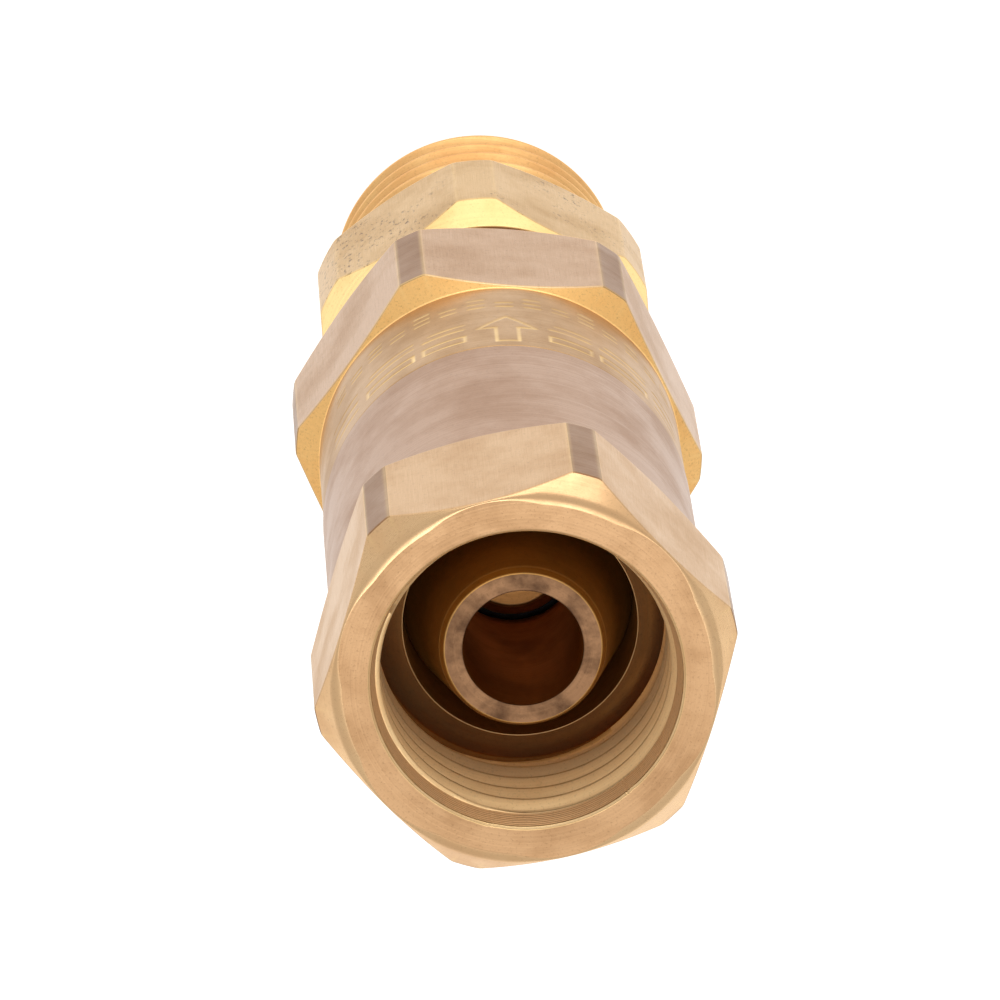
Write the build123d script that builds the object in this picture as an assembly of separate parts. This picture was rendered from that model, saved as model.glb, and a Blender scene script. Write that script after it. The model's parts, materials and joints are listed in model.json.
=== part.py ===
"""In-line check valve, brass, 1/4 inch BSP: female inlet, male outlet, soft-seated sprung poppet.

The valve axis is Z. The outlet end face lies on z = 0 and the inlet face is at the top.
Places along the axis are depths, measured from the inlet face towards the outlet.
"""
from build123d import *
import os

# Driving dimensions, mm
LENGTH = 59.0                   # inlet face to outlet end face
THREAD_MAJOR_R = 6.58           # G 1/4, 13.157 mm
THREAD_MINOR_R = 5.72           # G 1/4, 11.445 mm
WIDE_FLATS = 16.2               # across flats, inlet socket and main body
WIDE_CORNER_R = 9.02            # hexagon corners are turned down to this radius
SMALL_FLATS = 14.8              # across flats, outlet connector
SMALL_CORNER_R = 8.08
SOCKET_R = 8.03                 # plain barrel of the inlet socket
BODY_R = 7.98                   # plain barrel of the main body
POPPET_LIFT = 2.5               # closed to fully open
LOOSE = 0.04                    # radial gap of screwed and slipped-in pieces
CROWN = 0.02                    # bulge of the hexagons' chamfers

# Directions in which one flat of each hexagon faces, degrees from +X
SOCKET_FLAT_ANGLE = 48.2
BODY_FLAT_ANGLE = 30.0
OUTLET_FLAT_ANGLE = 8.5

# Chamfers of the hexagons: radius and depth at both ends of the front one, then of the rear one
SOCKET_HEX = ((8.15, 0), (WIDE_CORNER_R, 1.15), (WIDE_CORNER_R, 7.75), (SOCKET_R, 8.75))
BODY_HEX = ((BODY_R, 29.35), (WIDE_CORNER_R, 30.25), (WIDE_CORNER_R, 36.95), (8.07, 37.9))
OUTLET_HEX = ((7.2, 41.2), (SMALL_CORNER_R, 42.7), (SMALL_CORNER_R, 48.6), (7.3, 49.5))

# Depths of the outer shape
SEAM = 21.0                     # inlet socket meets main body
SEAM_BREAK = 0.15               # chamfer of both barrels at the seam
SOCKET_HEX_END = SOCKET_HEX[3][1]
BODY_HEX_START = BODY_HEX[0][1]
BODY_END = BODY_HEX[3][1]       # rear face of the main body
OUTLET_HEX_START = OUTLET_HEX[0][1]
OUTLET_HEX_END = OUTLET_HEX[3][1]
RELIEF_END = 51.8               # thread run-out groove behind the outlet hexagon
MALE_THREAD_START = 52.3
MALE_THREAD_END = 57.8
MALE_END_R = 5.7                # end of the thread's chamfer
MALE_RELIEF_R = 5.6

# Inlet socket, inside
MOUTH_R = 6.6
LEAD_IN = (6.33, 1.1)           # radius and depth at the end of the lead-in
FIRST_CREST = 1.75
RELIEF = (6.45, 7.2)            # thread run-out groove, radius and start
SOCKET_FLOOR = 7.9
CAVITY_R = 4.98                 # pocket round the inlet tube
LIP = 7.2                       # the raised inner edge of the floor
WEB_BACK = 13.0                 # the tube's flange bears on the back of this web
JOINT_R = 6.46                  # bore that takes the flange, seat ring and body spigot
SEAL_POCKET_R = 7.1
SEAL_POCKET = 19.9
SPIGOT_GROOVE_R = 5.92          # bottom of the seal's groove on the body spigot

# Inlet tube
TUBE_TIP = 4.07
TUBE_R = 3.54
TUBE_TIP_R = 3.34
TUBE_BORE_R = 2.59
TUBE_TIP_CHAMFER = 0.35
TUBE_BASE = (4.94, 10.8)        # radius of the tube's base and depth where its taper reaches it
TUBE_FLANGE_BACK = 14.8
TUBE_GROOVE = (5.2, 6.1, 13.75) # seal groove in the flange: radii and depth of its floor

# Seat ring and poppet
SEAT_R = 2.9
SEAT_EDGE = 16.2                # the 45 degree seat starts here
SEAT_BACK = 17.2
SEAT_GROOVE = (5.75, 15.4, 16.15)   # seal groove outside the seat ring: radius, start, end
CHAMBER_R = 5.0                 # bore round the poppet
NOSE_FACE = 15.6
NOSE_R = 2.14
NOSE_FLANGE_R = 2.65
NOSE_FLANGE = (16.12, 16.62)    # start and end of the flange that traps the seal ring
SHANK_R = 0.97                  # screwed shank of the nose
SHANK_END = 18.8
TAPPED_R = 1.0
TAPPED_END = 19.0
BOSS_R = 2.33                   # boss that the seal ring sits on
BOSS_FRONT = 16.65
HEAD_R = 4.1
HEAD_FRONT = 18.25
HEAD_BACK = 18.9                # the spring bears here
WASHER = (2.36, 3.9, 17.97, 18.22)
STEM_R = 1.25
STEM_END = 32.4
STEM_CHAMFER = 0.3
HUB_R = 2.3                     # its end stops the lift against the spring seat
STOP_GAP = 0.05                 # left between hub and spring seat at full lift

# Seals: ring radius, depth, section radius
POPPET_SEAL = (3.0, 17.3, 0.65)
TUBE_SEAL = (5.65, 13.375, 0.365)
SEAT_SEAL = (6.1, 15.775, 0.345)
BODY_SEAL = (6.51, 20.45, 0.54)
OUTLET_SEAL = (5.905, 37.35, 0.54)

# Stem guide and spring
GUIDE_FRONT = 28.4
GUIDE_BACK = 30.4
GUIDE_R = 5.31
GUIDE_BORE_R = 5.35
GUIDE_RIM_R = 4.3               # inside of the rim
GUIDE_HUB_R = 2.4
ARM_WIDTH = 1.5
ARM_OVERLAP = 0.3               # into rim and hub
ARM_ANGLES = (90, 210, 330)
BUSH_R = 1.73
BUSH_HOLE_R = 1.75
BUSH_FLANGE_R = 2.2
BUSH_FLANGE = (30.42, 30.8)
BUSH_CLEARANCE = 0.06           # radial, round the stem
SPRING_SEAT_FRONT = 27.9
SPRING_SEAT_RADII = (1.5, 3.5)
SPRING_MEAN_R = 2.9
WIRE_R = 0.3
SPRING_TURNS = 6
SPRING_GAP = 0.02               # left at both ends of the spring
CLIP_GROOVE = (31.15, 31.55)    # in the stem's end
CLIP_GROOVE_R = 0.95
STEM_CLIP = (0.97, 2.1, 31.16, 31.54, 1.1)          # inner and outer radius, start, end, opening
RING_GROOVE_R = 5.75
RING_GROOVE_END = 31.0
RETAINING_RING = (4.55, 5.68, 30.42, 30.98, 2.0)    # as the stem clip

# Outlet connector
SPIGOT_START = 31.2
OUTLET_BORE_R = 3.75
OUTLET_CONE = (57.1, 4.85)      # depth where the 60 degree cone starts, radius at its mouth
COLLAR_R = 7.2
COLLAR_END = 39.0
COLLAR_CHAMFER_END = 39.3
NECK_R = 6.2
OUTLET_SEAL_POCKET = 36.8
OUTLET_SEAL_POCKET_R = 6.5


def turned(*profile):
    """Solid of revolution about the valve axis from (radius, depth) corners."""
    outline = Polyline(*[(radius, 0, LENGTH - depth) for radius, depth in profile], close=True)
    return revolve(make_face(outline), Axis.Z, 360)


def ring(inner_r, outer_r, start, end):
    """Plain ring between two depths."""
    return turned((inner_r, start), (outer_r, start), (outer_r, end), (inner_r, end))


def rod(radius, start, end):
    """Plain solid cylinder between two depths."""
    return turned((0, start), (radius, start), (radius, end), (0, end))


def o_ring(radius, depth, section_r):
    """Rubber ring of round section."""
    return Pos(0, 0, LENGTH - depth) * Torus(radius, section_r)


def crowned(start, end):
    """Slightly convex chamfer between two (radius, depth) corners."""
    (start_r, start_depth), (end_r, end_depth) = start, end
    middle = ((start_r + end_r) / 2 + CROWN, 0, LENGTH - (start_depth + end_depth) / 2)
    return ThreePointArc((start_r, 0, LENGTH - start_depth), middle, (end_r, 0, LENGTH - end_depth))


def hexagon(across_flats, flat_angle, chamfers):
    """Hexagon bar with turned-down corners, from the (radius, depth) corners of its two chamfers."""
    front, front_top, rear_top, rear = chamfers
    start, end = front[1], rear[1]
    sketch = RegularPolygon(across_flats / 2, 6, major_radius=False, rotation=flat_angle - 30)
    bar = Pos(0, 0, LENGTH - end) * extrude(sketch, end - start)
    side = Line((front_top[0], 0, LENGTH - front_top[1]), (rear_top[0], 0, LENGTH - rear_top[1]))
    inside = Polyline((rear[0], 0, LENGTH - end), (0, 0, LENGTH - end), (0, 0, LENGTH - start),
                      (front[0], 0, LENGTH - start))
    outline = crowned(front, front_top) + side + crowned(rear_top, rear) + inside
    return bar & revolve(make_face(outline), Axis.Z, 360)


def inlet_socket():
    """Female end: hexagon, barrel, threaded bore and the pocket round the inlet tube."""
    outside = hexagon(WIDE_FLATS, SOCKET_FLAT_ANGLE, SOCKET_HEX)
    outside += turned((0, SOCKET_HEX_END), (SOCKET_R, SOCKET_HEX_END), (SOCKET_R, SEAM - SEAM_BREAK),
                      (SOCKET_R - SEAM_BREAK, SEAM), (0, SEAM))
    lead_r, lead_depth = LEAD_IN
    relief_r, relief_depth = RELIEF
    mouth = turned((0, 0), (MOUTH_R, 0), (lead_r, lead_depth), (THREAD_MINOR_R, FIRST_CREST),
                   (THREAD_MINOR_R, relief_depth), (relief_r, relief_depth), (relief_r, SOCKET_FLOOR),
                   (CAVITY_R, LIP), (CAVITY_R, WEB_BACK), (0, WEB_BACK))
    joint = turned((0, WEB_BACK), (JOINT_R, WEB_BACK), (JOINT_R, SEAL_POCKET), (SEAL_POCKET_R, SEAL_POCKET),
                   (SEAL_POCKET_R, SEAM), (0, SEAM))
    return outside - mouth - joint


def inlet_tube():
    """Tapered tube that stands in the socket, with a flange trapped behind the web."""
    flange_r = JOINT_R - LOOSE
    groove_in, groove_out, groove_floor = TUBE_GROOVE
    base_r, base_start = TUBE_BASE
    return turned((TUBE_BORE_R, TUBE_TIP), (TUBE_TIP_R, TUBE_TIP), (TUBE_R, TUBE_TIP + TUBE_TIP_CHAMFER),
                  (base_r, base_start), (base_r, WEB_BACK), (groove_in, WEB_BACK), (groove_in, groove_floor),
                  (groove_out, groove_floor), (groove_out, WEB_BACK), (flange_r, WEB_BACK),
                  (flange_r, TUBE_FLANGE_BACK), (TUBE_BORE_R, TUBE_FLANGE_BACK))


def seat_ring():
    """Ring with the conical seat, grooved outside for its seal."""
    outer_r = JOINT_R - LOOSE
    groove_r, groove_start, groove_end = SEAT_GROOVE
    return turned((SEAT_R, TUBE_FLANGE_BACK), (outer_r, TUBE_FLANGE_BACK), (outer_r, groove_start),
                  (groove_r, groove_start), (groove_r, groove_end), (outer_r, groove_end),
                  (outer_r, SEAT_BACK), (SEAT_R + SEAT_BACK - SEAT_EDGE, SEAT_BACK), (SEAT_R, SEAT_EDGE))


def main_body():
    """Middle piece: spigot into the socket, marked barrel, hexagon, poppet chamber."""
    spigot_r = JOINT_R - LOOSE
    outside = turned((0, SEAT_BACK), (spigot_r, SEAT_BACK), (spigot_r, SEAL_POCKET),
                     (SPIGOT_GROOVE_R, SEAL_POCKET), (SPIGOT_GROOVE_R, SEAM), (BODY_R - SEAM_BREAK, SEAM),
                     (BODY_R, SEAM + SEAM_BREAK), (BODY_R, BODY_HEX_START), (0, BODY_HEX_START))
    outside += hexagon(WIDE_FLATS, BODY_FLAT_ANGLE, BODY_HEX)
    bore = turned((0, SEAT_BACK), (CHAMBER_R, SEAT_BACK), (CHAMBER_R, GUIDE_FRONT),
                  (GUIDE_BORE_R, GUIDE_FRONT), (GUIDE_BORE_R, GUIDE_BACK), (RING_GROOVE_R, GUIDE_BACK),
                  (RING_GROOVE_R, RING_GROOVE_END), (GUIDE_BORE_R, RING_GROOVE_END),
                  (GUIDE_BORE_R, OUTLET_SEAL_POCKET), (OUTLET_SEAL_POCKET_R, OUTLET_SEAL_POCKET),
                  (OUTLET_SEAL_POCKET_R, BODY_END), (0, BODY_END))
    return outside - bore


def outlet_connector():
    """Male end: spigot into the main body, collar, neck, hexagon and G 1/4 thread."""
    spigot_r = GUIDE_BORE_R - LOOSE
    front = turned((0, SPIGOT_START), (spigot_r, SPIGOT_START), (spigot_r, BODY_END), (COLLAR_R, BODY_END),
                   (COLLAR_R, COLLAR_END), (NECK_R, COLLAR_CHAMFER_END), (NECK_R, OUTLET_HEX_START),
                   (0, OUTLET_HEX_START))
    hex_part = hexagon(SMALL_FLATS, OUTLET_FLAT_ANGLE, OUTLET_HEX)
    rear = turned((0, OUTLET_HEX_END), (MALE_RELIEF_R, OUTLET_HEX_END), (MALE_RELIEF_R, RELIEF_END),
                  (THREAD_MAJOR_R, MALE_THREAD_START), (THREAD_MAJOR_R, MALE_THREAD_END),
                  (MALE_END_R, LENGTH), (0, LENGTH))
    cone_start, cone_r = OUTLET_CONE
    bore = turned((0, SPIGOT_START), (OUTLET_BORE_R, SPIGOT_START), (OUTLET_BORE_R, cone_start),
                  (cone_r, LENGTH), (0, LENGTH))
    return front + hex_part + rear - bore


def poppet():
    """Poppet head, lift-stop hub and guided stem in one turning, with a tapped front."""
    clip_start, clip_end = CLIP_GROOVE
    hub_end = SPRING_SEAT_FRONT - POPPET_LIFT - STOP_GAP
    solid = turned((0, BOSS_FRONT), (BOSS_R, BOSS_FRONT), (BOSS_R, HEAD_FRONT), (HEAD_R, HEAD_FRONT),
                   (HEAD_R, HEAD_BACK), (HUB_R, HEAD_BACK), (HUB_R, hub_end), (STEM_R, hub_end),
                   (STEM_R, clip_start), (CLIP_GROOVE_R, clip_start), (CLIP_GROOVE_R, clip_end),
                   (STEM_R, clip_end), (STEM_R, STEM_END - STEM_CHAMFER), (STEM_R - STEM_CHAMFER, STEM_END),
                   (0, STEM_END))
    return solid - rod(TAPPED_R, BOSS_FRONT, TAPPED_END)


def poppet_nose():
    """Screwed nose that traps the seal ring; its flat face is seen through the inlet tube."""
    flange_front, flange_back = NOSE_FLANGE
    return turned((0, NOSE_FACE), (NOSE_R, NOSE_FACE), (NOSE_FLANGE_R, flange_front),
                  (NOSE_FLANGE_R, flange_back), (SHANK_R, flange_back), (SHANK_R, SHANK_END), (0, SHANK_END))


def stem_guide():
    """Spider with a rim, three arms and a hub for the bush."""
    rim = ring(GUIDE_RIM_R, GUIDE_R, GUIDE_FRONT, GUIDE_BACK)
    spider = rim + ring(BUSH_HOLE_R, GUIDE_HUB_R, GUIDE_FRONT, GUIDE_BACK)
    length = GUIDE_RIM_R - GUIDE_HUB_R + 2 * ARM_OVERLAP
    middle = (GUIDE_RIM_R + GUIDE_HUB_R) / 2
    height = GUIDE_BACK - GUIDE_FRONT
    for angle in ARM_ANGLES:
        arm = Pos(middle, 0, LENGTH - (GUIDE_FRONT + GUIDE_BACK) / 2) * Box(length, ARM_WIDTH, height)
        spider += Rot(0, 0, angle) * arm
    return spider


def guide_bush():
    """Flanged plastic bush in the guide's hub."""
    bore_r = STEM_R + BUSH_CLEARANCE
    flange_front, flange_back = BUSH_FLANGE
    return turned((bore_r, GUIDE_FRONT), (BUSH_R, GUIDE_FRONT), (BUSH_R, flange_front),
                  (BUSH_FLANGE_R, flange_front), (BUSH_FLANGE_R, flange_back), (bore_r, flange_back))


def open_ring(inner_r, outer_r, start, end, gap):
    """Ring cut open on the +X side, as a snap ring is."""
    opening = Pos(outer_r, 0, LENGTH - (start + end) / 2) * Box(2 * outer_r, gap, 2 * (end - start))
    return ring(inner_r, outer_r, start, end) - opening


def return_spring():
    """Round-wire compression spring between the poppet head and the spring seat."""
    start = LENGTH - SPRING_SEAT_FRONT + WIRE_R + SPRING_GAP
    height = SPRING_SEAT_FRONT - HEAD_BACK - 2 * (WIRE_R + SPRING_GAP)
    path = Pos(0, 0, start) * Helix(height / SPRING_TURNS, height, SPRING_MEAN_R)
    section = Plane(path @ 0, z_dir=path % 0) * Circle(WIRE_R)
    return sweep(section, path=path, is_frenet=True)


PIECES = {
    "inlet_socket": inlet_socket(),
    "inlet_tube": inlet_tube(),
    "inlet_tube_seal": o_ring(*TUBE_SEAL),
    "seat_ring": seat_ring(),
    "seat_ring_seal": o_ring(*SEAT_SEAL),
    "main_body": main_body(),
    "body_seal": o_ring(*BODY_SEAL),
    "outlet_connector": outlet_connector(),
    "outlet_seal": o_ring(*OUTLET_SEAL),
    "poppet": poppet(),
    "poppet_nose": poppet_nose(),
    "poppet_seal": o_ring(*POPPET_SEAL),
    "seal_washer": ring(*WASHER),
    "return_spring": return_spring(),
    "spring_seat": ring(*SPRING_SEAT_RADII, SPRING_SEAT_FRONT, GUIDE_FRONT),
    "stem_guide": stem_guide(),
    "guide_bush": guide_bush(),
    "retaining_ring": open_ring(*RETAINING_RING),
    "stem_clip": open_ring(*STEM_CLIP),
}

os.makedirs("parts", exist_ok=True)
for node, piece in PIECES.items():
    export_step(piece, f"parts/{node}.step")
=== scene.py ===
"""Check valve, brass, G 1/4: detailed meshes, finishes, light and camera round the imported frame.

Lengths in the profiles are millimetres: a radius from the valve axis and a depth below the inlet
face. Angles run clockwise as seen from the inlet, from +X, in degrees.
"""
import json
import math

import bmesh
import bpy
import numpy as np
from mathutils import Matrix, Vector

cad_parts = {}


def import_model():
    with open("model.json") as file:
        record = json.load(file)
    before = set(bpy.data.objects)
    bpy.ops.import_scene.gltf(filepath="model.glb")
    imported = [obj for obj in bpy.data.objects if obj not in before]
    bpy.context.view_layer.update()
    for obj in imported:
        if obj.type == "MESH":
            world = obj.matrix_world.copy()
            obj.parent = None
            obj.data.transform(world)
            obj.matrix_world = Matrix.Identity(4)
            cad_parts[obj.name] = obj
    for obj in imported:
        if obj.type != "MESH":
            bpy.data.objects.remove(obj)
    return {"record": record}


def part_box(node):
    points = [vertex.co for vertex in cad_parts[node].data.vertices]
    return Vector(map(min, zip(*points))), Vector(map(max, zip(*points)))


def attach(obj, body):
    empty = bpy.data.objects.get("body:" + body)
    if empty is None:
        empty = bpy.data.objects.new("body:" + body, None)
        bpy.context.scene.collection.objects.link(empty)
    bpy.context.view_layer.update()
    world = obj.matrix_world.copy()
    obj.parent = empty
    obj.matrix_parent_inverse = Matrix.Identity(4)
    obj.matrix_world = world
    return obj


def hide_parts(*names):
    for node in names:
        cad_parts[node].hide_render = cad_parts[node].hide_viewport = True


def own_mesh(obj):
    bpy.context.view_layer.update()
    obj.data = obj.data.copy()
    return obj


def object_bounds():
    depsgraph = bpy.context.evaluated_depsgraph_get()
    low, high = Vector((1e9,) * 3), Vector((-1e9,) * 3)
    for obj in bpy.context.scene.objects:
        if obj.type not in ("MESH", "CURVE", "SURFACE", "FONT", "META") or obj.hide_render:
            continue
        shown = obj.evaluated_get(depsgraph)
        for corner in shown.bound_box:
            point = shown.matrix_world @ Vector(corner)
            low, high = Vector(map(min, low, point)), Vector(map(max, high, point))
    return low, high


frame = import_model()
CAD_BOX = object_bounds()

MM = 0.001
INLET_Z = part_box("inlet_socket")[1][2]          # the inlet face


def depth_of(z):
    """Depth below the inlet face of a height in the frame, mm."""
    return (INLET_Z - z) / MM


LENGTH = depth_of(CAD_BOX[0][2])
SEAM = depth_of(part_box("inlet_socket")[0][2])
BODY_END = depth_of(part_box("main_body")[0][2])
TUBE_TIP = depth_of(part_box("inlet_tube")[1][2])
SPRING_TOP = depth_of(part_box("return_spring")[1][2])
SPRING_END = depth_of(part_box("spring_seat")[1][2])
LIFT = frame["record"]["behaviour"]["joints"][0]["range_m"][1] / MM

# Hexagons: half across flats, radius of the turned-down corners, where one flat faces
SOCKET_HEX = (8.1, 9.02, -48.2)
BODY_HEX = (8.1, 9.02, -90.0)
OUTLET_HEX = (7.4, 8.08, -8.5)

# G 1/4 thread
PITCH = 1.337
THREAD_SHAPE = [(-0.083, 0.93), (-0.04, 0.985), (0.0, 1.0), (0.04, 0.985), (0.083, 0.93), (0.25, 0.5),
                (0.417, 0.07), (0.46, 0.015), (0.5, 0.0), (0.54, 0.015), (0.583, 0.07), (0.75, 0.5)]

PLAIN_COLUMNS = 288
BEVEL_STEPS = (0.0, 0.33, 0.67, 1.0)
EDGE_WEAR_AND_SHEEN = 0.5             # how bright turned edges are made, partly as wear and partly as painted highlight, and a hexagon's upright ones
UPRIGHT_WEAR_AND_SHEEN = 0.3

# Surfaces whose edges show no bright wear or painted highlight
DULL = ("chamfer", "seam", "pocket", "shoulder", "tube_bore", "bore", "rubber", "plastic")

BAND_R = 7.98               # the marked band, the angle at its marks' centre, how deep they cut
MARK_CENTRE = 266.0
MARK_DEPTH = 0.05
BARREL_R = 8.03
NOSE_R = 2.14               # the flat face of the nose
TUBE_BORE_R = 2.55
LIP_R = 4.98                # the hole the tube comes up through
CARTRIDGE_R = 6.42          # the pocket that holds tube flange and seat ring
SPIGOT_R = 5.92             # where the body enters the socket
GUIDE_R = 5.31              # the stem guide and the outlet connector's spigot
STEM_R = 1.25

# Colour of edges brightened partly as wear and partly as painted highlight
WORN_AND_SHEEN_BRASS = (246, 214, 150)
PIT_COLOUR = (96, 70, 38)
# Painted shade in the thread roots of the bore
ROOT_SHADE_COLOUR = (104, 62, 28)


# ---------------------------------------------------------------- meshes

def column_angles(*fine_spans, count=PLAIN_COLUMNS, hexagon=None):
    """Sorted column angles, even all round but closer in fine spans and at a hexagon's edges.

    A fine span is given as (from, to, count).
    """
    angles = set(np.round(np.linspace(0, 360, count, endpoint=False), 4))
    for start, end, number in fine_spans:
        angles = {a for a in angles if not start <= a <= end}
        angles |= set(np.round(np.linspace(start, end, number), 4))
    if hexagon:
        half, corner, facing = hexagon
        reach = math.degrees(math.acos(half / corner))
        for flat in range(6):
            for side in (-1, 1):
                for step in (-1.2, -0.7, -0.35, 0.0, 0.35, 0.7, 1.2):
                    angles.add(round((facing + 60 * flat + side * reach + step) % 360, 4))
    ordered = sorted(angles)
    return np.array([a for a, b in zip(ordered, ordered[1:] + [ordered[0] + 360]) if b - a > 0.02])


def hexagon_radius(angles, hexagon, soft=0.06):
    """Radius of a hexagon with turned-down corners at each column, its edges slightly rounded."""
    half, corner, facing = hexagon
    off = (angles - facing + 30) % 60 - 30
    flat = half / np.cos(np.radians(off))
    blend = np.clip(soft - np.abs(flat - corner), 0, None) / soft
    return np.minimum(flat, corner) - blend * blend * soft / 4


def corner_columns(angles, hexagon):
    """The columns that start on a turned-down corner of a hexagon."""
    half, corner, facing = hexagon
    reach = math.degrees(math.acos(half / corner))
    return np.abs((angles - facing + 30) % 60 - 30) > reach - 0.01


class Loop:
    """Rows of points round the axis, one after the other, that close into a solid's cross-section."""

    def __init__(self, angles, strips=None):
        self.angles = angles
        self.strips = strips    # columns where a flat gives way to the turned-down corner
        self.rows = []          # (radius, depth, surface after this row, edge wear and painted highlight)
        self.wrap = []          # row that each row joins after a full turn

    def add(self, radius, depth, surface, edge=0.0):
        size = len(self.angles)
        self.wrap.append(len(self.rows))
        radii, depths = (np.broadcast_to(v, size).astype(float) for v in (radius, depth))
        self.rows.append((radii, depths, surface, edge))

    def corners(self, *points):
        """Turned corners: radius, depth, break of the edge, surface after it.

        Radius and depth may vary by column.
        """
        size = len(self.angles)
        places = [np.stack([np.broadcast_to(v, size) for v in p[:2]]).astype(float) for p in points]
        for i, (_, _, soft, surface) in enumerate(points):
            here = places[i]
            if not soft or i in (0, len(points) - 1):
                self.add(here[0], here[1], surface)
                continue
            before, after = places[i - 1] - here, places[i + 1] - here
            len_b, len_a = np.hypot(*before), np.hypot(*after)
            cut = np.minimum(soft, 0.4 * np.minimum(len_b, len_a))
            a, b = before / np.maximum(len_b, 1e-9), after / np.maximum(len_a, 1e-9)
            previous = points[i - 1][3]
            sheen_and_wear = 0.0 if surface in DULL or previous in DULL else EDGE_WEAR_AND_SHEEN
            self.add(*(here + a * cut * 1.2), previous)
            for t in BEVEL_STEPS:
                bend = (1 - t) ** 2 * (here + a * cut) + 2 * t * (1 - t) * here + t * t * (here + b * cut)
                self.add(*bend, surface, edge=sheen_and_wear if 0 < t < 1 else 0.4 * sheen_and_wear)
            self.add(*(here + b * cut * 1.2), surface)

    def ring(self, *points):
        """Turned corners that close on the first one, which is in a plain stretch."""
        self.corners(*points, points[0])
        self.rows.pop()
        self.wrap.pop()

    def thread(self, root, crest, start, end, envelope, phase, surface, backwards=False):
        """Right-hand thread between two depths. phase is the (angle, depth) of a crest centre."""
        turn = self.angles / 360
        first = math.floor((start - phase[1]) / PITCH) - 2
        last = math.ceil((end - phase[1]) / PITCH) + 2
        made = []
        for lap in range(first, last):
            for offset, height in THREAD_SHAPE:
                at = phase[1] + PITCH * (lap + offset + turn - phase[0] / 360)
                depth = np.clip(at, start, end)
                along = (depth - phase[1]) / PITCH - turn + phase[0] / 360
                rise = self.height_at(along)
                made.append((envelope(depth, root + (crest - root) * rise), depth))
        keep = [i for i, (_, d) in enumerate(made) if np.ptp(d) > 0]
        made = made[max(keep[0] - 1, 0):keep[-1] + 2]
        lap_rows = len(THREAD_SHAPE)
        base = len(self.rows)
        if backwards:
            made.reverse()
        for i, (radius, depth) in enumerate(made):
            self.add(radius, depth, surface)
            step = i - lap_rows if backwards else i + lap_rows
            self.wrap[-1] = base + min(max(step, 0), len(made) - 1)

    @staticmethod
    def height_at(along):
        """Height of the thread, 0 at the root and 1 at the crest, at a place along it in pitches."""
        places = [o for o, _ in THREAD_SHAPE] + [1 + THREAD_SHAPE[0][0]]
        heights = [h for _, h in THREAD_SHAPE] + [THREAD_SHAPE[0][1]]
        return np.interp((along - places[0]) % 1 + places[0], places, heights)

    def mesh(self, name, columns_edge=None):
        """The closed loop as a mesh object, with its surfaces as materials and its edge wear and painted
        highlight as an attribute.
        """
        count, rows = len(self.angles), len(self.rows)
        turn = np.radians(self.angles)
        radius = np.array([r for r, _, _, _ in self.rows]) * MM
        depth = np.array([d for _, d, _, _ in self.rows]) * MM
        points = np.stack([radius * np.cos(turn), -radius * np.sin(turn), INLET_Z - depth], axis=-1)
        wear_and_sheen = np.array([np.full(count, row[3]) for row in self.rows])
        if columns_edge is not None:
            wear_and_sheen = np.maximum(wear_and_sheen, columns_edge(self.angles, radius / MM, depth / MM))
        faces, surfaces = [], []
        names = sorted({row[2] for row in self.rows} | ({"strip"} if self.strips is not None else set()))
        for i in range(rows):
            j = (i + 1) % rows
            slot_index = names.index(self.rows[i][2])
            for c in range(count - 1):
                faces.append((i * count + c, j * count + c, j * count + c + 1, i * count + c + 1))
            last_i, last_j = (i + 1) * count - 1, (j + 1) * count - 1
            faces.append((last_i, last_j, self.wrap[j] * count, self.wrap[i] * count))
            if self.strips is not None and "flat" in self.rows[i][2]:
                surfaces += np.where(self.strips, names.index("strip"), slot_index).tolist()
            else:
                surfaces += [slot_index] * count
        data = bpy.data.meshes.new(name)
        data.from_pydata(points.reshape(-1, 3).tolist(), [], faces)
        data.polygons.foreach_set("material_index", surfaces)
        data.attributes.new("wear_and_sheen", "FLOAT", "POINT").data.foreach_set("value", wear_and_sheen.ravel())
        for surface in names:
            data.materials.append(FINISHES[surface])
        return tidy_mesh(name, data)


def tidy_mesh(name, data):
    """Welds a mesh, drops what has no area, turns its faces outward and makes it an object."""
    work = bmesh.new()
    work.from_mesh(data)
    bmesh.ops.remove_doubles(work, verts=work.verts, dist=2e-7)
    bmesh.ops.dissolve_degenerate(work, edges=work.edges, dist=1e-7)
    bmesh.ops.recalc_face_normals(work, faces=work.faces)
    for face in work.faces:
        face.smooth = True
    work.to_mesh(data)
    work.free()
    piece = bpy.data.objects.new(name, data)
    bpy.context.scene.collection.objects.link(piece)
    return piece


def finished(piece, node, body):
    """Puts a piece in place of a CAD node."""
    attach(piece, body)
    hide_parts(node)
    return piece


# ---------------------------------------------------------------- finishes

def srgb(red, green, blue):
    """Linear colour of an 8-bit sRGB one."""
    values = [v / 255 for v in (red, green, blue)]
    return tuple(v / 12.92 if v <= 0.04045 else ((v + 0.055) / 1.055) ** 2.4 for v in values) + (1.0,)


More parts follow.
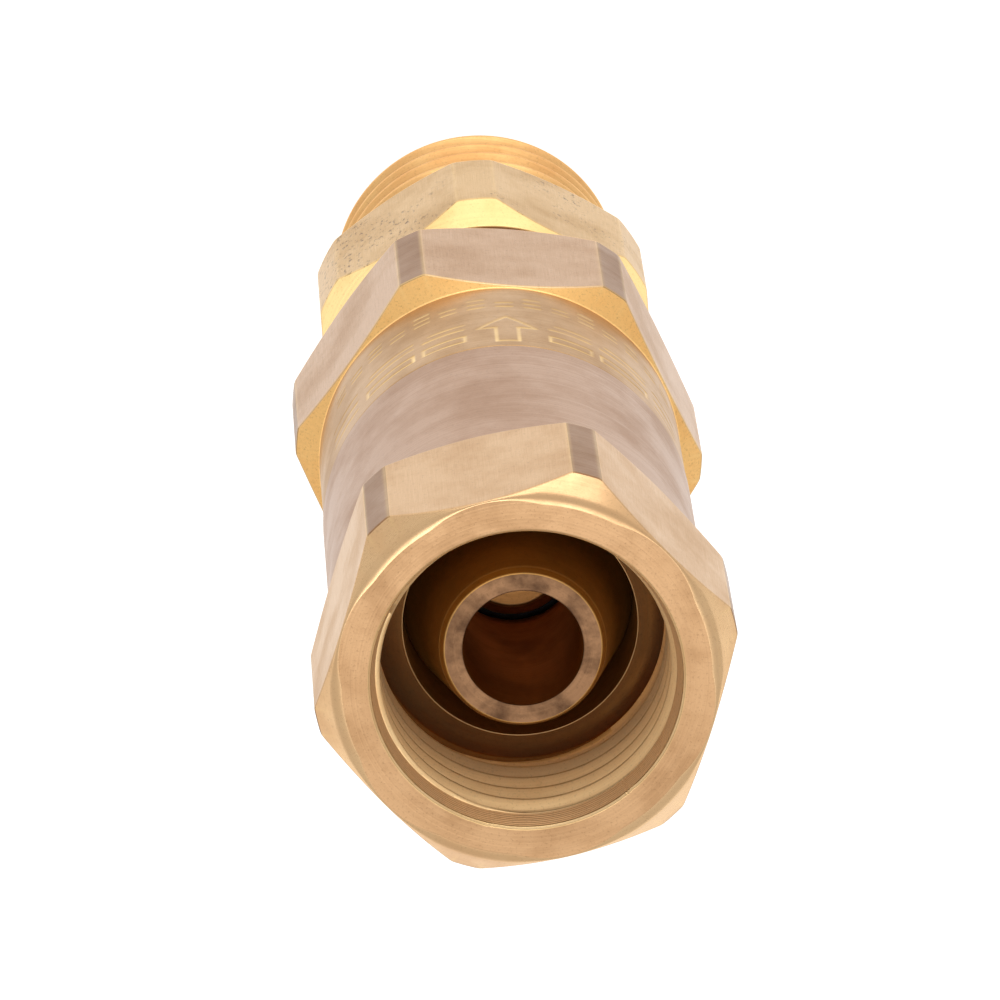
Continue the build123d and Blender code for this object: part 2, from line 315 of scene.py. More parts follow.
class Nodes:
    """A material's nodes, made with short calls. Numbers and sockets can both be passed as values."""

    def __init__(self, name):
        self.material = bpy.data.materials.new(name)
        self.material.use_nodes = True
        self.tree = self.material.node_tree
        self.shader = self.tree.nodes["Principled BSDF"]

    def node(self, kind, **settings):
        made = self.tree.nodes.new(kind)
        for key, value in settings.items():
            setattr(made, key, value)
        return made

    def join(self, source, target):
        self.tree.links.new(source, target)

    def fill(self, sockets, values):
        for socket, value in zip(sockets, values):
            if isinstance(value, (int, float, tuple)):
                socket.default_value = value
            else:
                self.join(value, socket)

    def math(self, operation, first, second=0.0):
        made = self.node("ShaderNodeMath", operation=operation)
        self.fill(made.inputs, (first, second))
        return made.outputs[0]

    def times(self, first, second):
        return self.math("MULTIPLY", first, second)

    def vector(self, x, y, z):
        made = self.node("ShaderNodeCombineXYZ")
        self.fill(made.inputs, (x, y, z))
        return made.outputs[0]

    def noise(self, coordinates, scale, detail=3.0, roughness=0.55):
        made = self.node("ShaderNodeTexNoise")
        self.join(coordinates, made.inputs["Vector"])
        made.inputs["Scale"].default_value = scale
        made.inputs["Detail"].default_value = detail
        made.inputs["Roughness"].default_value = roughness
        return made.outputs["Fac"]

    def ramp(self, factor, low, high, low_value=0.0, high_value=1.0):
        made = self.node("ShaderNodeMapRange", clamp=True)
        names = ("Value", "From Min", "From Max", "To Min", "To Max")
        self.fill([made.inputs[n] for n in names], (factor, low, high, low_value, high_value))
        return made.outputs["Result"]

    def mix(self, factor, first, second):
        made = self.node("ShaderNodeMix", data_type="RGBA")
        self.fill([made.inputs[n] for n in ("Factor", "A", "B")], (factor, first, second))
        return made.outputs["Result"]

    def bump(self, height, strength, distance):
        made = self.node("ShaderNodeBump")
        made.inputs["Strength"].default_value = strength
        made.inputs["Distance"].default_value = distance
        self.join(height, made.inputs["Height"])
        self.join(made.outputs["Normal"], self.shader.inputs["Normal"])


def darker(colour, share):
    """Linear colour of an 8-bit sRGB one made darker."""
    return srgb(*[int(v * share) for v in colour])


def round_coordinates(nodes):
    """Object position, angle round the axis, radius and height as sockets, in metres and radians."""
    position = nodes.node("ShaderNodeTexCoord").outputs["Object"]
    split = nodes.node("ShaderNodeSeparateXYZ")
    nodes.join(position, split.inputs[0])
    x, y, z = split.outputs
    angle = nodes.math("ARCTAN2", y, x)
    radius = nodes.math("SQRT", nodes.math("ADD", nodes.times(x, x), nodes.times(y, y)))
    return position, angle, radius, z


def machining_lines(nodes, lines, scale, angle, radius, height):
    """Coordinates whose noise is drawn out along the lines that a tool leaves."""
    if lines == "turned":
        return nodes.vector(nodes.times(angle, 0.35), 0.0, nodes.times(height, 14000 * scale))
    if lines == "faced":
        return nodes.vector(nodes.times(angle, 0.35), 0.0, nodes.times(radius, 14000 * scale))
    if lines == "milled":
        return nodes.vector(nodes.times(angle, 260 * scale), 0.0, nodes.times(height, 420))
    return nodes.vector(nodes.times(angle, 60), 0.0, nodes.times(height, 7000))


def brass(name, colour, stain, rough=0.34, stain_amount=0.5, stain_scale=260, lines="turned",
          line_depth=1.0, line_scale=1.0, grain=1.0, pits=0.0, metal=1.0, root_shade_radii=None):
    """Brass with machining lines, grain, stains, and edges brightened partly as wear and partly as painted
    highlight.

    lines is turned, faced, milled or cast. The last argument gives the radii, in mm, across which painted
    shade darkens the thread roots.
    """
    nodes = Nodes(name)
    position, angle, radius, height = round_coordinates(nodes)
    scratch = nodes.noise(machining_lines(nodes, lines, line_scale, angle, radius, height), 1.0, 2.0, 0.6)
    stains = nodes.ramp(nodes.noise(position, stain_scale, 5.0, 0.62), 0.42, 0.66)
    broad = nodes.noise(position, 90, 2.0)
    speckle = nodes.noise(position, 9000, 2.0, 0.7)
    tone = nodes.mix(nodes.times(stains, stain_amount), srgb(*colour), srgb(*stain))
    tone = nodes.mix(nodes.ramp(scratch, 0.3, 0.7, 0.0, 0.16), tone, darker(colour, 0.72))
    tone = nodes.mix(nodes.ramp(speckle, 0.56, 0.72, 0.0, 0.22 * grain), tone, darker(stain, 0.6))
    wear_and_sheen = nodes.node("ShaderNodeAttribute", attribute_name="wear_and_sheen").outputs["Fac"]
    # Edges lightened towards worn brass: partly wear, partly painted highlight along the edges
    tone = nodes.mix(nodes.times(wear_and_sheen, nodes.ramp(broad, 0.35, 0.65, 0.35, 0.95)), tone, srgb(*WORN_AND_SHEEN_BRASS))
    relief = nodes.math("ADD", nodes.times(scratch, 0.55 * line_depth), nodes.times(speckle, 0.35 * grain))
    if pits:
        drawn_out = nodes.vector(nodes.times(angle, 34), 0.0, nodes.times(height, 2600))
        dashes = nodes.noise(drawn_out, 1.0, 3.0, 0.7)
        patches = nodes.ramp(nodes.noise(position, 330, 3.0), 0.44, 0.56)
        pit = nodes.times(nodes.ramp(dashes, 0.55, 0.66, 0.0, pits), patches)
        tone = nodes.mix(pit, tone, srgb(*PIT_COLOUR))
        relief = nodes.math("SUBTRACT", relief, nodes.times(pit, 2.0))
    # Painted shade: colour darkened towards the thread roots, standing in for the shadow between the
    # threads
    if root_shade_radii:
        root_shade = nodes.ramp(radius, root_shade_radii[0] * MM, root_shade_radii[1] * MM, 0.0, 0.95)
        tone = nodes.mix(root_shade, tone, srgb(*ROOT_SHADE_COLOUR))
    nodes.join(tone, nodes.shader.inputs["Base Color"])
    nodes.shader.inputs["Metallic"].default_value = metal
    roughness = nodes.math("ADD", nodes.ramp(stains, 0.0, 1.0, rough - 0.03, rough + 0.09),
                           nodes.ramp(scratch, 0.3, 0.7, -0.04, 0.06))
    nodes.join(roughness, nodes.shader.inputs["Roughness"])
    nodes.bump(relief, 0.35, 0.000012)
    return nodes.material


def steel(name, colour, rough, lines):
    """Bright wire or stamped steel with fine lines along it."""
    nodes = Nodes(name)
    _, angle, radius, height = round_coordinates(nodes)
    along = nodes.vector(nodes.times(angle, 3.0), nodes.times(radius, lines), nodes.times(height, lines))
    scratch = nodes.noise(along, 1.0, 3.0)
    tone = nodes.mix(nodes.ramp(scratch, 0.3, 0.7), srgb(*colour), darker(colour, 0.7))
    nodes.join(tone, nodes.shader.inputs["Base Color"])
    nodes.shader.inputs["Metallic"].default_value = 1.0
    nodes.join(nodes.ramp(scratch, 0.3, 0.7, rough - 0.05, rough + 0.1), nodes.shader.inputs["Roughness"])
    nodes.bump(scratch, 0.2, 0.00001)
    return nodes.material


def polymer(name, colour, rough):
    """Rubber or plastic with a faint moulded grain."""
    nodes = Nodes(name)
    position = round_coordinates(nodes)[0]
    grain = nodes.noise(position, 7000, 3.0)
    tone = nodes.mix(nodes.ramp(grain, 0.35, 0.7), srgb(*colour), darker(colour, 0.75))
    nodes.join(tone, nodes.shader.inputs["Base Color"])
    nodes.join(nodes.ramp(grain, 0.3, 0.7, rough - 0.08, rough + 0.08), nodes.shader.inputs["Roughness"])
    nodes.bump(grain, 0.25, 0.00001)
    return nodes.material


FINISHES = {
    "face": brass("brass_face", (194, 155, 115), (176, 133, 91), rough=0.42, lines="faced",
            line_depth=0.6, stain_amount=0.4, stain_scale=420, grain=1.5),
    "flat": brass("brass_flat", (202, 166, 124), (176, 138, 100), rough=0.38, lines="milled",
            stain_amount=0.4),
    # Painted shade: the turned-down corner strips get a darker copy of the flats' brass, standing in for
    # the shade their angle catches
    "strip": brass("brass_strip", (146, 110, 78), (122, 89, 61), rough=0.36, lines="turned",
            stain_amount=0.3),
    "barrel": brass("brass_barrel", (174, 140, 114), (152, 117, 90), rough=0.38, lines="turned",
            line_depth=0.4),
    "chamfer": brass("brass_chamfer", (226, 188, 142), (204, 158, 112), rough=0.28, lines="turned",
            line_scale=0.6),
    "outlet_chamfer": brass("brass_outlet_chamfer", (246, 212, 148), (218, 172, 108), rough=0.32,
            lines="turned", line_scale=0.6),
    # Painted shadow: the small chamfers where socket and body meet are coloured dark to stand in for the
    # shadow in the joint
    "seam": brass("brass_seam", (120, 90, 62), (90, 64, 42), rough=0.5, lines="turned"),
    "gold_chamfer": brass("brass_gold_chamfer", (246, 196, 124), (228, 168, 92), rough=0.4,
            lines="cast", line_depth=2.0, grain=1.6, metal=0.85),
    "body_flat": brass("brass_body_flat", (190, 156, 124), (164, 130, 100), rough=0.38, lines="milled",
            stain_amount=0.4, grain=1.6),
    "rim": brass("brass_rim", (240, 206, 156), (214, 170, 116), rough=0.36, lines="turned"),
    # Painted light: a much paler copy of the brass on the lead-in, standing in for light that does not
    # reach the mouth's cone
    "lead_in": brass("brass_lead_in", (248, 206, 154), (222, 172, 116), rough=0.5, lines="turned",
            line_depth=2.0, metal=0.8),
    # Painted light: a near-white copy of the brass in the threaded bore, standing in for light that does
    # not reach inside; its thread roots carry painted shade
    "bore": brass("brass_bore", (255, 220, 166), (238, 194, 134), rough=0.5, lines="turned",
            stain_amount=0.4, line_depth=0.4, metal=0.7, root_shade_radii=(6.45, 6.57)),
    "pocket": brass("brass_pocket", (206, 148, 80), (156, 108, 54), rough=0.56, lines="turned",
            stain_amount=0.6, line_depth=0.3),
    "shoulder": brass("brass_shoulder", (196, 158, 110), (158, 124, 80), rough=0.46, lines="faced",
            line_depth=2.0, line_scale=0.5),
    "tube_face": brass("tube_face", (146, 110, 80), (80, 56, 42), rough=0.44, lines="faced",
            stain_scale=640, stain_amount=0.8),
    "tube_side": brass("tube_side", (190, 136, 62), (130, 88, 36), rough=0.5, lines="turned"),
    "tube_bore": brass("tube_bore", (176, 104, 34), (128, 70, 22), rough=0.5, lines="turned",
            stain_amount=0.6),
    "band": brass("brass_band", (186, 150, 108), (156, 118, 76), rough=0.4, lines="turned",
            line_depth=0.6),
    "small_flat": brass("brass_small_flat", (206, 172, 122), (172, 136, 90), rough=0.38, lines="milled",
            pits=0.9),
    "male_thread": brass("brass_male_thread", (234, 188, 126), (218, 158, 96), rough=0.44,
            lines="turned"),
    "inner": brass("brass_inner", (222, 184, 116), (186, 142, 76), rough=0.32, lines="turned"),
    "wire": steel("spring_wire", (196, 196, 200), 0.28, 9000),
    "stamped": steel("stamped_steel", (188, 188, 190), 0.34, 4000),
    "rubber": polymer("seal_rubber", (28, 28, 28), 0.62),
    "plastic": polymer("guide_plastic", (232, 230, 222), 0.45),
    "nose": brass("poppet_nose_face", (206, 152, 92), (176, 120, 66), rough=0.46, lines="faced"),
}


# ---------------------------------------------------------------- pieces

def hexagon_wear_and_sheen(hexagon, start, end):
    """Wear and painted highlight along the upright edges of a hexagon between two depths."""
    half, corner, facing = hexagon
    reach = math.degrees(math.acos(half / corner))

    def wear_and_sheen(angles, radius, depth):
        off = np.abs(np.abs((angles - facing + 30) % 60 - 30) - reach)
        close = UPRIGHT_WEAR_AND_SHEEN * np.clip(1 - off / 0.9, 0, 1)
        inside = (depth > start) & (depth < end) & (radius > half * 0.98)
        return close[None, :] * inside

    return wear_and_sheen


def inlet_socket():
    angles = column_angles(hexagon=SOCKET_HEX)
    side = hexagon_radius(angles, SOCKET_HEX)
    lead_r, lead_end, mouth_r = 6.33, 1.1, 6.6

    def lead_in(depth):
        return mouth_r - (mouth_r - lead_r) * np.minimum(depth / lead_end, 1)

    def bore_wall(depth, thread):
        return np.minimum(np.maximum(thread, lead_r - (depth - lead_end) * 1.6), 6.62)

    # Nicks and a burr in two places round the mouth
    ragged = np.clip(1 - np.abs(angles - 99) / 13, 0, 1) + 1.4 * np.clip(1 - np.abs(angles - 44) / 9, 0, 1)
    burr = 0.035 * ragged * np.sin(angles * 7.3) * np.sin(angles * 2.9)
    face_r, corner_r = 8.05, SOCKET_HEX[1]
    front_cross = (side - face_r) * 1.15 / (corner_r - face_r)
    rear_cross = 7.75 + corner_r - side
    loop = Loop(angles, corner_columns(angles, SOCKET_HEX))
    loop.corners(
        (mouth_r - 0.06, 0.16, 0, "rim"), (mouth_r - 0.05 + burr, 0.09, 0.03, "rim"),
        (mouth_r + 0.05 + burr, 0.0, 0.03, "face"), (face_r, 0.0, 0.28, "chamfer"),
        (side, front_cross, 0.07, "flat"), (side, rear_cross, 0.07, "barrel"),
        (BARREL_R, 8.74, 0.08, "barrel"), (BARREL_R, SEAM - 0.12, 0.04, "seam"),
        (7.90, SEAM, 0.03, "pocket"), (7.1, SEAM, 0.05, "pocket"), (7.1, 19.9, 0.05, "pocket"),
        (6.46, 19.9, 0.05, "pocket"), (6.46, 13.0, 0.05, "pocket"), (LIP_R, 13.0, 0.05, "pocket"),
        (LIP_R, 7.2, 0.06, "shoulder"), (6.3, 7.95, 0.05, "pocket"), (6.62, 7.95, 0.05, "pocket"),
        (6.62, 7.45, 0, "bore"))
    loop.thread(6.6, 6.12, 1.1, 7.42, bore_wall, (86.1, 2.33), "bore", backwards=True)
    for step in range(36, 0, -1):       # fine turning marks on the lead-in
        depth = 0.17 + step * 0.026
        loop.add(lead_in(depth) + 0.010 * math.sin(step * math.tau / 5) + 0.4 * burr, depth, "lead_in")
    piece = loop.mesh("inlet_socket_detail", hexagon_wear_and_sheen(SOCKET_HEX, 0.3, 8.6))
    return finished(piece, "inlet_socket", "housing")


def turned_piece(node, body, slot, *points, count=192):
    """A plain turned piece in place of a CAD node."""
    loop = Loop(column_angles(count=count))
    loop.ring(*points)
    return finished(loop.mesh(node + "_detail"), node, body)


def o_ring(node, body, radius, depth, section):
    """A rubber ring of round section, with its parting line."""
    loop = Loop(column_angles(count=160))
    for step in range(24):
        turn = math.tau * step / 24
        flash = 0.012 if step in (0, 12) else 0.0
        loop.add(radius + (section + flash) * math.cos(turn), depth + section * math.sin(turn), "rubber")
    return finished(loop.mesh(node + "_detail"), node, body)


def inlet_tube():
    return turned_piece(
        "inlet_tube", "housing", "tube_brass", (TUBE_BORE_R, 9.0, 0, "tube_bore"),
        (TUBE_BORE_R, TUBE_TIP, 0.05, "tube_face"), (3.36, TUBE_TIP, 0.05, "tube_side"),
        (3.54, TUBE_TIP + 0.35, 0.06, "tube_side"), (4.94, 10.8, 0.3, "tube_side"),
        (4.94, 13.0, 0.02, "pocket"), (5.2, 13.0, 0.05, "pocket"), (5.2, 13.75, 0.05, "pocket"),
        (6.1, 13.75, 0.05, "pocket"), (6.1, 13.0, 0.05, "pocket"),
        (CARTRIDGE_R, 13.0, 0.05, "pocket"), (CARTRIDGE_R, 14.8, 0.05, "pocket"),
        (TUBE_BORE_R, 14.8, 0.1, "tube_bore"), count=256)


def seat_ring():
    return turned_piece(
        "seat_ring", "housing", "inner_brass", (2.9, 15.4, 0, "pocket"), (2.9, 14.8, 0.06, "pocket"),
        (CARTRIDGE_R, 14.8, 0.05, "inner"), (CARTRIDGE_R, 15.4, 0.05, "inner"),
        (5.75, 15.4, 0.05, "inner"), (5.75, 16.15, 0.05, "inner"),
        (CARTRIDGE_R, 16.15, 0.05, "inner"), (CARTRIDGE_R, 17.2, 0.05, "inner"),
        (3.9, 17.2, 0.05, "inner"), (2.9, 16.2, 0.05, "pocket"))


def band_marks(angles, depth):
    """How deep the marks cut, 0 to 1, at column angles and depths: a flow arrow, bars and dashes."""
    across = np.radians(angles - MARK_CENTRE)[None, :] * BAND_R
    down = depth[:, None]
    strokes = []

    def outline(*corners):
        for start, end in zip(corners, corners[1:] + corners[:1]):
            strokes.append((start, end))

    def box(x, y, width, height):
        outline((x, y), (x + width, y), (x + width, y + height), (x, y + height))

    outline((-0.5, 21.8), (0.5, 21.8), (0.5, 23.7), (1.3, 23.7), (0.0, 25.2), (-1.3, 23.7), (-0.5, 23.7))
    for left, width in ((-6.9, 2.6), (-3.8, 1.9), (1.9, 1.9), (4.3, 2.6)):
        box(left, 22.3, width, 0.75)
        strokes.append(((left, 24.0), (left + width, 24.0)))
        strokes.append(((left + 0.3, 24.6), (left + width, 24.6)))
    for left, width in ((-9.6, 2.0), (7.5, 1.8)):
        for down_at in (22.4, 23.4, 24.4):
            strokes.append(((left, down_at), (left + width, down_at)))
    for step in range(-7, 8):
        x = step * 1.25
        for line in range(2 + step % 2):
            strokes.append(((x - 0.33, 26.7 + 0.55 * line), (x + 0.33, 26.7 + 0.55 * line)))
    cut = np.zeros((len(depth), len(angles)))
    for (x0, y0), (x1, y1) in strokes:
        length2 = (x1 - x0) ** 2 + (y1 - y0) ** 2
        t = np.clip(((across - x0) * (x1 - x0) + (down - y0) * (y1 - y0)) / length2, 0, 1)
        gap = np.hypot(across - x0 - t * (x1 - x0), down - y0 - t * (y1 - y0))
        cut = np.maximum(cut, np.clip((0.11 - gap) / 0.07, 0, 1))
    blotches = 0.13 * np.sin(across * 1.7 + 0.6) * np.sin(down * 1.9)
    faded = 0.75 + blotches + 0.12 * np.sin(across * 4.3 + down * 3.1)
    return cut * faded


def main_body():
    angles = column_angles((196, 336, 240), count=180, hexagon=BODY_HEX)
    side = hexagon_radius(angles, BODY_HEX)
    band_start, band_end = SEAM + 0.3, 29.2
    front_cross = 29.35 + (side - BAND_R) * 0.9 / 1.04
    rear_cross = BODY_END - (side - 8.05)
    loop = Loop(angles, corner_columns(angles, BODY_HEX))
    loop.corners(
        (SPIGOT_R, 20.4, 0, "pocket"), (SPIGOT_R, SEAM, 0.05, "pocket"), (7.85, SEAM, 0.05, "seam"),
        (BAND_R, SEAM + 0.13, 0.05, "band"), (BAND_R, band_start, 0, "band"))
    depths = np.arange(band_start + 0.06, band_end - 0.03, 0.075)
    marks = band_marks(angles, depths)
    for row, depth in enumerate(depths):
        loop.add(BAND_R - MARK_DEPTH * marks[row], depth, "band")
    marked = slice(len(loop.rows) - len(depths), len(loop.rows))
    loop.corners(
        (BAND_R, band_end, 0, "band"), (BAND_R, 29.35, 0.06, "gold_chamfer"),
        (side, front_cross, 0.07, "body_flat"), (side, rear_cross, 0.07, "gold_chamfer"),
        (8.05, BODY_END, 0.06, "face"), (6.5, BODY_END, 0.06, "pocket"), (6.5, 36.8, 0.05, "pocket"),
        (5.35, 36.8, 0.05, "pocket"), (5.35, 31.0, 0.05, "pocket"), (5.75, 31.0, 0.05, "pocket"),
        (5.75, 30.4, 0.05, "pocket"), (5.35, 30.4, 0.05, "pocket"), (5.35, 28.4, 0.05, "pocket"),
        (5.0, 28.4, 0.05, "pocket"), (5.0, 17.2, 0.1, "pocket"), (CARTRIDGE_R, 17.2, 0.1, "pocket"),
        (CARTRIDGE_R, 19.9, 0.05, "pocket"), (SPIGOT_R, 19.9, 0, "pocket"))
    upright = hexagon_wear_and_sheen(BODY_HEX, 29.6, 37.7)

    def wear_and_sheen(columns, radius, depth):
        sheen_and_wear = upright(columns, radius, depth)
        sheen_and_wear[marked] = np.maximum(sheen_and_wear[marked], marks)
        return sheen_and_wear

    return finished(loop.mesh("main_body_detail", wear_and_sheen), "main_body", "housing")


def outlet_connector():
    angles = column_angles(hexagon=OUTLET_HEX)
    side = hexagon_radius(angles, OUTLET_HEX)
    front_cross = 41.2 + (side - 7.2) * 1.5 / 0.88
    rear_cross = 49.5 - (side - 7.3) * 0.9 / 0.78
    thread_start, thread_end, end_r = 51.9, LENGTH - 0.06, 5.7

    def wall(depth, thread):
        rise = 5.6 + (depth - thread_start) * 2.0
        fall = end_r + (LENGTH - depth) * 0.73
        return np.minimum(np.minimum(rise, fall), thread)

    loop = Loop(angles)
    loop.corners(
        (3.75, 34.0, 0, "pocket"), (3.75, 31.2, 0.15, "pocket"), (GUIDE_R, 31.2, 0.2, "pocket"),
        (GUIDE_R, BODY_END, 0.05, "pocket"), (7.2, BODY_END, 0.08, "chamfer"),
        (7.2, 39.0, 0.1, "barrel"), (6.2, 39.3, 0.08, "barrel"), (6.2, 41.2, 0.1, "face"),
        (7.2, 41.2, 0.05, "outlet_chamfer"), (side, front_cross, 0.07, "small_flat"),
        (side, rear_cross, 0.07, "outlet_chamfer"), (7.3, 49.5, 0.06, "face"),
        (5.6, 49.5, 0.15, "male_thread"), (5.6, 51.7, 0, "male_thread"))
    loop.thread(5.9, 6.575, thread_start, thread_end, wall, (270.0, 57.5), "male_thread")
    loop.corners(
        (end_r, LENGTH - 0.03, 0, "face"), (end_r - 0.06, LENGTH, 0.02, "face"),
        (4.85, LENGTH, 0.05, "bore"), (3.75, 57.1, 0.06, "bore"), (3.75, 50.0, 0, "pocket"))
    piece = loop.mesh("outlet_connector_detail", hexagon_wear_and_sheen(OUTLET_HEX, 41.4, 49.3))
    return finished(piece, "outlet_connector", "housing")


def poppet():
    hub_end = SPRING_END - LIFT - 0.05
    return turned_piece(
        "poppet", "poppet_unit", "inner_brass", (1.0, 17.5, 0, "inner"), (1.0, 16.65, 0.04, "inner"),
        (2.33, 16.65, 0.05, "inner"), (2.33, 18.25, 0.05, "inner"), (4.1, 18.25, 0.08, "inner"),
        (4.1, 18.9, 0.08, "inner"), (2.3, 18.9, 0.05, "inner"), (2.3, hub_end, 0.08, "inner"),
        (STEM_R, hub_end, 0.05, "inner"), (STEM_R, 31.15, 0.03, "inner"),
        (0.95, 31.15, 0.03, "inner"), (0.95, 31.55, 0.03, "inner"), (STEM_R, 31.55, 0.03, "inner"),
        (STEM_R, 32.1, 0.08, "inner"), (0.95, 32.4, 0.05, "inner"), (0.05, 32.4, 0, "inner"),
        (0.05, 19.1, 0, "inner"), (1.0, 19.0, 0.05, "inner"))


def poppet_nose():
    return turned_piece(
        "poppet_nose", "poppet_unit", "inner_brass", (0.04, 18.0, 0, "inner"),
        (0.04, 15.66, 0.03, "nose"), (NOSE_R - 0.1, 15.6, 0.05, "nose"),
        (NOSE_R, 15.66, 0.04, "nose"), (2.65, 16.12, 0.06, "inner"), (2.65, 16.62, 0.06, "inner"),
        (0.97, 16.62, 0.05, "inner"), (0.97, 18.8, 0.1, "inner"), (0.04, 18.8, 0, "inner"))


def stem_guide():
    """The guide's rim and hub are turned, and its three arms are milled; all are joined into one mesh."""
    rim = Loop(column_angles(count=192))
    rim.ring(
        (4.3, 29.0, 0, "inner"), (4.3, 28.4, 0.08, "inner"), (GUIDE_R, 28.4, 0.08, "inner"),
        (GUIDE_R, 30.4, 0.08, "inner"), (4.3, 30.4, 0.08, "inner"))
    hub = Loop(column_angles(count=128))
    hub.ring(
        (1.75, 29.0, 0, "inner"), (1.75, 28.4, 0.08, "inner"), (2.4, 28.4, 0.08, "inner"),
        (2.4, 30.4, 0.08, "inner"), (1.75, 30.4, 0.08, "inner"))
    piece, hub_piece = rim.mesh("stem_guide_detail"), hub.mesh("stem_guide_hub")
    work = bmesh.new()
    work.from_mesh(piece.data)
    work.from_mesh(hub_piece.data)
    for angle in (90, 210, 330):
        arm = bmesh.ops.create_cube(work, size=1.0)["verts"]
        place = (Matrix.Rotation(math.radians(angle), 4, "Z")
                 @ Matrix.Translation((3.35 * MM, 0, INLET_Z - 29.4 * MM))
                 @ Matrix.Diagonal((2.1 * MM, 1.5 * MM, 1.8 * MM, 1)))
        bmesh.ops.transform(work, matrix=place, verts=arm)
        edges = list({edge for vert in arm for edge in vert.link_edges})
        bmesh.ops.bevel(work, geom=edges, offset=0.12 * MM, segments=2, profile=0.5, affect="EDGES")
    work.to_mesh(piece.data)
    work.free()
    bpy.data.objects.remove(hub_piece)
    return finished(piece, "stem_guide", "housing")


def open_ring(node, body, inner, outer, start, end, gap, soft):
    """A snap ring: a bent flat bar, open on the +X side."""
    half = math.degrees(math.asin(gap / 2 / ((inner + outer) / 2)))
    turns = np.radians(np.linspace(half, 360 - half, 140))
    section = []
    corners = ((inner, start, 1, 1), (outer, start, -1, 1), (outer, end, -1, -1), (inner, end, 1, -1))
    for x, y, sx, sy in corners:
        pair = [(x + sx * soft, y), (x, y + sy * soft)]
        section += pair if (sx, sy) in ((-1, 1), (1, -1)) else pair[::-1]
    points = [(r * MM * math.cos(t), r * MM * math.sin(t), INLET_Z - d * MM)
              for t in turns for r, d in section]
    size, last = len(section), len(turns) - 1
    faces = [(i * size + j, i * size + (j + 1) % size, (i + 1) * size + (j + 1) % size, (i + 1) * size + j)
             for i in range(last) for j in range(size)]
    faces += [tuple(range(size)), tuple(last * size + j for j in reversed(range(size)))]
    data = bpy.data.meshes.new(node + "_detail")
    data.from_pydata(points, [], faces)
    data.materials.append(FINISHES["stamped"])
    piece = tidy_mesh(node + "_detail", data)
    piece.data.set_sharp_from_angle(angle=math.radians(40))
    return finished(piece, node, body)


def return_spring():
    """Wire wound with closed end coils."""
    wire, mean, turns, steps, sides = 0.29, 2.9, 6.0, 420, 12
    top, bottom = SPRING_TOP + wire + 0.02, SPRING_END - wire - 0.02
    points, faces = [], []
    for i in range(steps + 1):
        t = i / steps
        closed = 1.05 / turns
        lead = wire * 2.02 / (bottom - top)
        if t < closed:
            along = lead * t / closed
        elif t > 1 - closed:
            along = 1 - lead * (1 - t) / closed
        else:
            u = (t - closed) / (1 - 2 * closed)
            along = lead + (1 - 2 * lead) * u
        depth = top + (bottom - top) * along
        angle = math.tau * turns * t
        for side in range(sides):
            turn = math.tau * side / sides
            r = mean + wire * math.cos(turn)
            z = INLET_Z - (depth + wire * math.sin(turn)) * MM
            points.append((r * MM * math.cos(angle), r * MM * math.sin(angle), z))
    for i in range(steps):
        for side in range(sides):
            nxt = (side + 1) % sides
            faces.append((i * sides + side, i * sides + nxt, (i + 1) * sides + nxt, (i + 1) * sides + side))
    faces += [tuple(range(sides)), tuple(steps * sides + s for s in reversed(range(sides)))]
    data = bpy.data.meshes.new("return_spring_detail")
    data.from_pydata(points, [], faces)
    data.materials.append(FINISHES["wire"])
    piece = finished(tidy_mesh("return_spring_detail", data), "return_spring", "housing")
    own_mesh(piece)
    return piece


inlet_socket()
inlet_tube()
seat_ring()
main_body()
outlet_connector()
poppet()
poppet_nose()
stem_guide()
return_spring()
o_ring("inlet_tube_seal", "housing", 5.65, 13.375, 0.35)
o_ring("seat_ring_seal", "housing", 6.1, 15.775, 0.33)
o_ring("body_seal", "housing", 6.51, 20.45, 0.52)
o_ring("outlet_seal", "housing", 5.905, 37.35, 0.52)
o_ring("poppet_seal", "poppet_unit", 3.0, 17.3, 0.63)
turned_piece(
    "seal_washer", "poppet_unit", "washer_steel", (2.36, 18.1, 0, "stamped"),
    (2.36, 17.97, 0.03, "stamped"), (3.9, 17.97, 0.05, "stamped"), (3.9, 18.22, 0.05, "stamped"),
    (2.36, 18.22, 0.03, "stamped"))
turned_piece(
    "spring_seat", "housing", "washer_steel", (1.5, 28.1, 0, "stamped"),
    (1.5, 27.9, 0.05, "stamped"), (3.5, 27.9, 0.08, "stamped"), (3.5, 28.4, 0.08, "stamped"),
    (1.5, 28.4, 0.05, "stamped"))
turned_piece(
    "guide_bush", "housing", "guide_plastic", (1.31, 29.0, 0, "plastic"),
    (1.31, 28.4, 0.06, "plastic"), (1.73, 28.4, 0.06, "plastic"), (1.73, 30.42, 0.03, "plastic"),
    (2.2, 30.42, 0.05, "plastic"), (2.2, 30.8, 0.08, "plastic"), (1.31, 30.8, 0.08, "plastic"))
open_ring("retaining_ring", "housing", 4.55, 5.68, 30.42, 30.98, 2.0, 0.07)
open_ring("stem_clip", "poppet_unit", 0.97, 2.1, 31.16, 31.54, 1.1, 0.05)


# ---------------------------------------------------------------- stage, light, camera

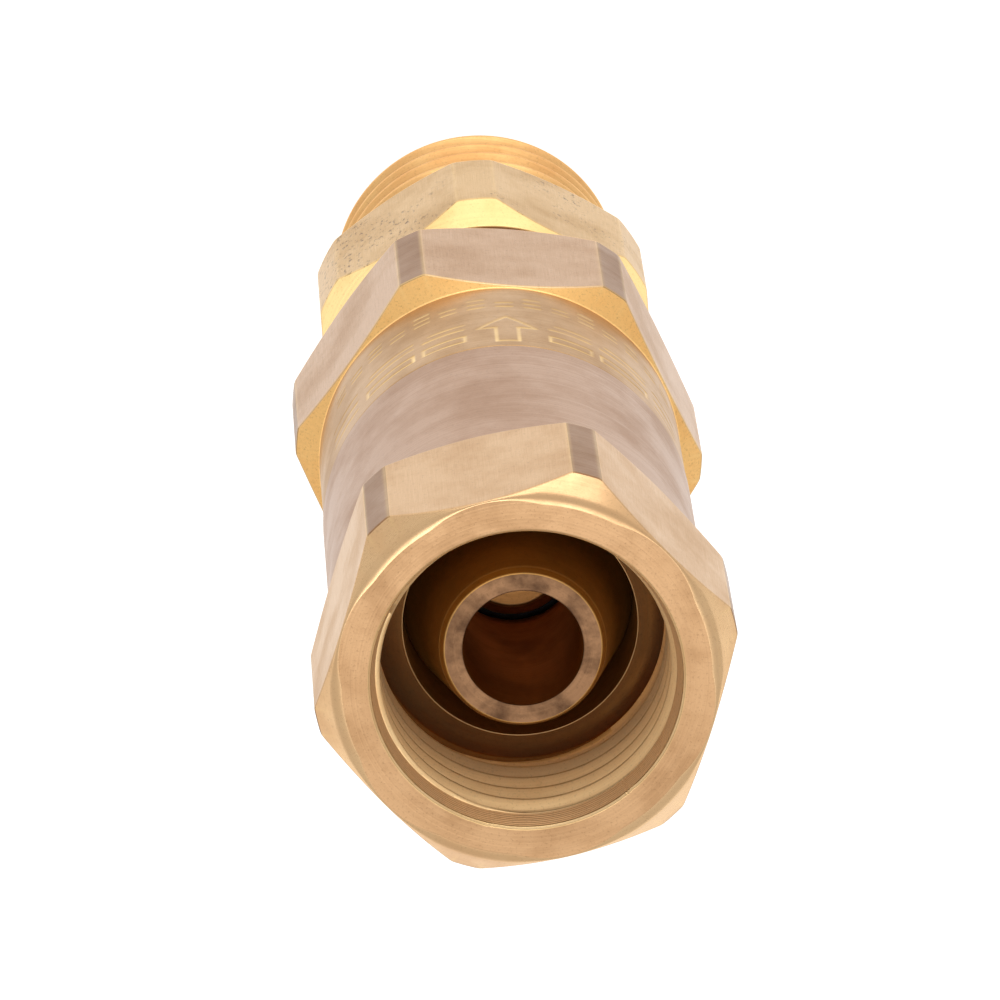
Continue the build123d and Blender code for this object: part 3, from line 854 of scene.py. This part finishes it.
def floor():
    data = bpy.data.meshes.new("floor")
    size, z = 0.6, CAD_BOX[0][2] - 0.0001
    corners = [(-size, -size, z), (size, -size, z), (size, size, z), (-size, size, z)]
    data.from_pydata(corners, [], [(0, 1, 2, 3)])
    nodes = Nodes("pale_floor")
    speck = nodes.noise(nodes.node("ShaderNodeTexCoord").outputs["Object"], 40, 3.0)
    nodes.join(nodes.mix(nodes.ramp(speck, 0.3, 0.7), srgb(192, 192, 192), srgb(188, 188, 188)),
               nodes.shader.inputs["Base Color"])
    nodes.shader.inputs["Roughness"].default_value = 0.8
    nodes.shader.inputs["Emission Color"].default_value = (1.0, 1.0, 1.0, 1.0)
    nodes.shader.inputs["Emission Strength"].default_value = 0.80
    data.materials.append(nodes.material)
    plane = bpy.data.objects.new("floor", data)
    bpy.context.scene.collection.objects.link(plane)


def softbox(name, place, size, power, colour=(1.0, 1.0, 1.0), aim=(0.0, 0.0, 0.03)):
    light = bpy.data.lights.new(name, "AREA")
    light.shape = "RECTANGLE"
    light.size, light.size_y = size
    light.energy = power
    light.color = colour
    lamp = bpy.data.objects.new(name, light)
    lamp.location = place
    lamp.rotation_euler = (Vector(aim) - Vector(place)).to_track_quat("-Z", "Y").to_euler()
    bpy.context.scene.collection.objects.link(lamp)


def world():
    made = bpy.data.worlds.new("studio")
    made.use_nodes = True
    made.node_tree.nodes["Background"].inputs["Color"].default_value = (1.0, 0.985, 0.96, 1.0)
    made.node_tree.nodes["Background"].inputs["Strength"].default_value = 0.80
    bpy.context.scene.world = made


def camera():
    """Looks down on the inlet from the +Y side, rolled so that the valve stands upright in the picture."""
    azimuth, elevation, roll = math.radians(168.775), math.radians(71.396), math.radians(-173.026)
    distance, aim = 0.50336, Vector((-0.000206, -0.000041, 0.035112))
    level = math.cos(elevation)
    look = Vector((math.sin(azimuth) * level, math.cos(azimuth) * level, -math.sin(elevation)))
    data = bpy.data.cameras.new("camera")
    data.sensor_width = 36.0
    data.lens = 413.9
    data.clip_start, data.clip_end = 0.01, 10.0
    made = bpy.data.objects.new("camera", data)
    made.location = aim - look * distance
    upright = look.to_track_quat("-Z", "Y").to_matrix()
    made.rotation_euler = (upright @ Matrix.Rotation(-roll, 3, "Z")).to_euler()
    bpy.context.scene.collection.objects.link(made)
    bpy.context.scene.camera = made


floor()
world()
softbox("overhead", (0.0, -0.02, 0.66), (0.25, 0.25), 0.8)
softbox("far_side", (0.0, 0.42, 0.075), (0.4, 0.13), 0.46, (1.0, 0.985, 0.96))
camera()
bpy.context.scene.view_settings.view_transform = "Standard"
